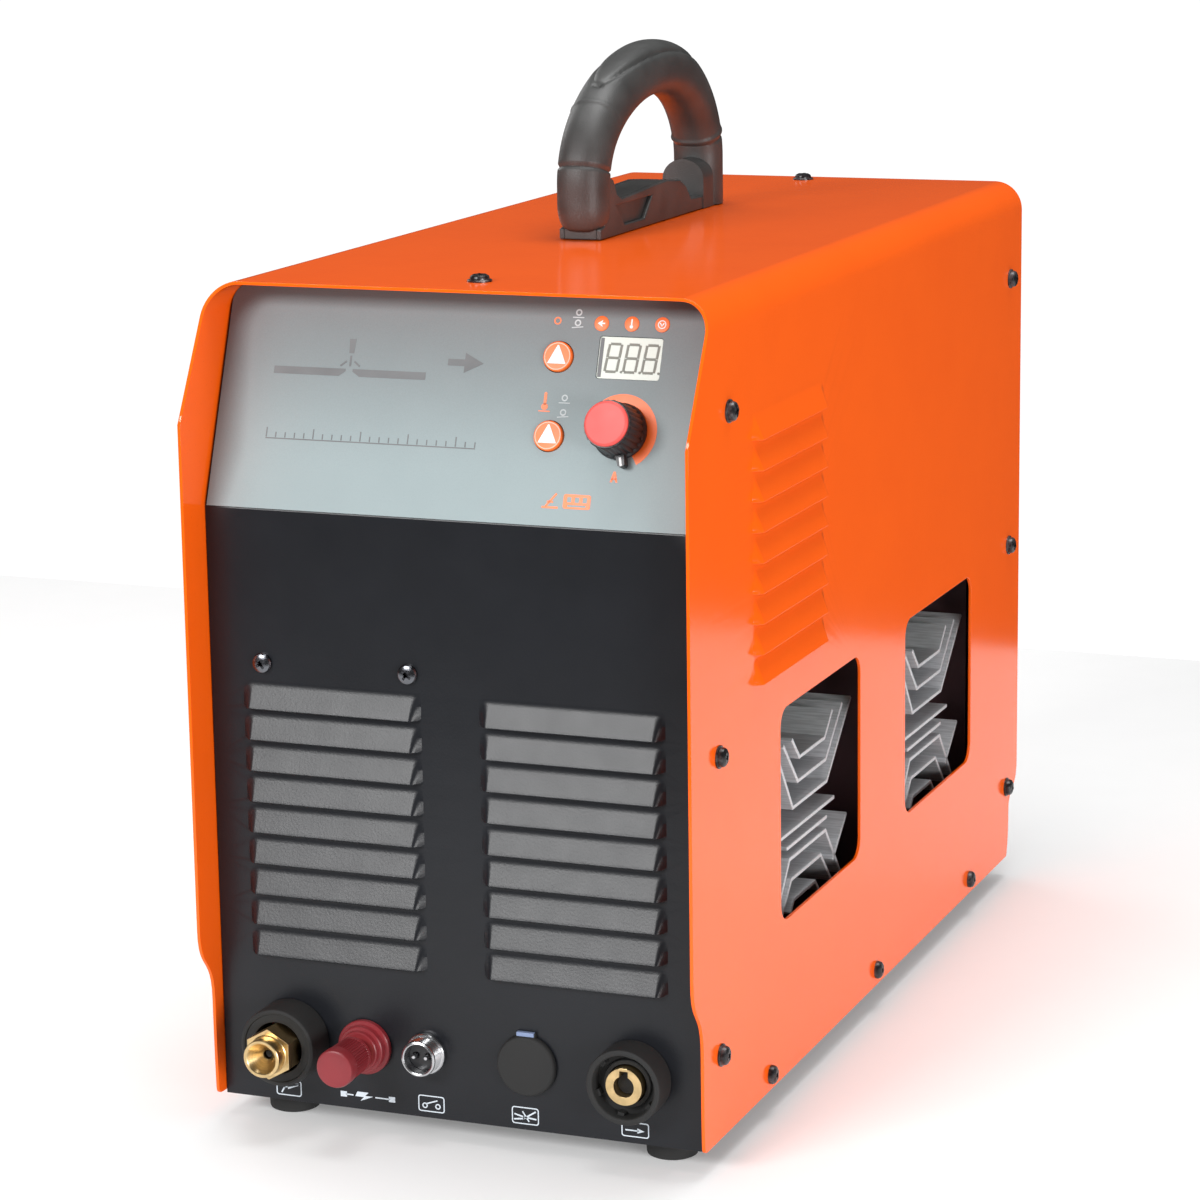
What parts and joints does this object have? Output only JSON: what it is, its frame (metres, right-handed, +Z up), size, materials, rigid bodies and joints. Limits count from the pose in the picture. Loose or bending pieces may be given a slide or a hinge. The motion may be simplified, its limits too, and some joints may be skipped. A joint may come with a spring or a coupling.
{
  "type": "plasma cutter unit",
  "caption": "Portable plasma cutting machine in a folded sheet cabinet with a carrying handle, front sockets, control knob, side windows and a built-in air pump.",
  "frame": {"origin": "centre of the footprint on the surface that the feet stand on", "axes": "+Z up, +Y from the front panel to the rear, +X to the right seen from the front"},
  "size_m": [0.2484, 0.55, 0.4765],
  "materials": {
    "orange_paint": "gloss powder coat",
    "black_paint": "satin fine-texture powder coat",
    "overlay_print": "printed satin film",
    "black_plastic": "moulded satin",
    "fan_plastic": "moulded satin",
    "handle_plastic": "fine-grained moulded",
    "foot_rubber": "matte",
    "red_plastic": "moulded satin",
    "salmon_plastic": "moulded satin",
    "orange_plastic": "translucent moulded",
    "display_lens": "clear over pale digits",
    "brass": "machined",
    "chrome": "plated",
    "zinc_steel": "zinc plated",
    "aluminium": "extruded, saw-cut ends",
    "cast_alloy": "sand cast",
    "ferrite": "dark sintered ferrite",
    "circuit_board": "solder mask",
    "copper_wire": "enamelled copper winding",
    "yellow_tape": "polyester tape",
    "capacitor_sleeve": "shrink sleeve",
    "hose_tube": "polyurethane tube"
  },
  "bodies": {
    "cabinet": {"cover": "orange_paint", "front_panel": "black_paint", "rear_panel": "black_paint", "base_tray": "black_paint", "compressor_motor": "black_paint", "panel_overlay": "overlay_print", "torch_collar": "black_plastic", "output_collar": "black_plastic", "pin_socket_insert": "black_plastic", "blanking_cap": "black_plastic", "display_module": "black_plastic", "switch_body": "black_plastic", "cable_gland": "black_plastic", "gland_nut": "black_plastic", "fan_frame": "fan_plastic", "handle_grip": "handle_plastic", "handle_bar": "handle_plastic", "foot_front_left": "foot_rubber", "foot_front_right": "foot_rubber", "foot_rear_left": "foot_rubber", "foot_rear_right": "foot_rubber", "post_base": "red_plastic", "indicator_power": "orange_plastic", "indicator_heat": "orange_plastic", "indicator_air": "orange_plastic", "display_window": "display_lens", "torch_connector": "brass", "post_stud": "brass", "output_contact": "brass", "ground_stud": "brass", "solenoid_valve": "brass", "pin_socket_shell": "chrome", "panel_screw_left": "chrome", "panel_screw_right": "chrome", "fan_guard": "chrome", "potentiometer": "zinc_steel", "air_duct": "zinc_steel", "heat_sink_front_right": "aluminium", "heat_sink_front_left": "aluminium", "heat_sink_rear_right": "aluminium", "heat_sink_rear_left": "aluminium", "compressor_head": "cast_alloy", "transformer_core": "ferrite", "control_board": "circuit_board", "main_board": "circuit_board", "output_choke": "copper_wire", "transformer_winding": "yellow_tape", "capacitor_front": "capacitor_sleeve", "capacitor_rear": "capacitor_sleeve", "air_hose": "hose_tube"},
    "knob": {"knob_body": "black_plastic", "knob_cap": "salmon_plastic"},
    "button_upper": {"button_upper": "orange_plastic"},
    "button_lower": {"button_lower": "orange_plastic"},
    "post_ferrule": {"post_ferrule": "brass"},
    "post_cap": {"post_cap": "red_plastic"},
    "switch_lever": {"switch_lever": "red_plastic"},
    "fan_rotor": {"fan_rotor": "black_plastic"},
    "compressor_fan": {"compressor_fan": "black_plastic"}
  },
  "joints": [
    {"name": "knob_turn", "type": "hinge", "parent": "cabinet", "child": "knob", "pos_m": [0.0766, -0.22481, 0.32765], "axis": [0, 0.9367, -0.35], "range_deg": [0, 300]},
    {"name": "button_upper_press", "type": "slide", "parent": "cabinet", "child": "button_upper", "axis": [0, 0.9367, -0.35], "range_m": [0, 0.001], "stiffness_N_per_m": 600, "springref_m": -0.0008},
    {"name": "button_lower_press", "type": "slide", "parent": "cabinet", "child": "button_lower", "axis": [0, 0.9367, -0.35], "range_m": [0, 0.001], "stiffness_N_per_m": 600, "springref_m": -0.0008},
    {"name": "post_travel", "type": "slide", "parent": "cabinet", "child": "post_ferrule", "axis": [0, -1, 0], "range_m": [0, 0.005]},
    {"name": "post_turn", "type": "hinge", "parent": "post_ferrule", "child": "post_cap", "pos_m": [-0.046, -0.26, 0.0415], "axis": [0, -1, 0], "range_deg": [0, 1800]},
    {"name": "switch_tip", "type": "hinge", "parent": "cabinet", "child": "switch_lever", "pos_m": [0.078, 0.2445, 0.312], "axis": [1, 0, 0], "range_deg": [0, 64]},
    {"name": "fan_spin", "type": "hinge", "parent": "cabinet", "child": "fan_rotor", "pos_m": [-0.022, 0.228, 0.162], "axis": [0, 1, 0], "continuous": true},
    {"name": "compressor_spin", "type": "hinge", "parent": "cabinet", "child": "compressor_fan", "pos_m": [-0.05, 0.04, 0.048], "axis": [0, 1, 0], "continuous": true}
  ],
  "couplings": [
    {"joint": "post_turn", "follows": "post_travel", "rad_per_m": 6283.1}
  ]
}
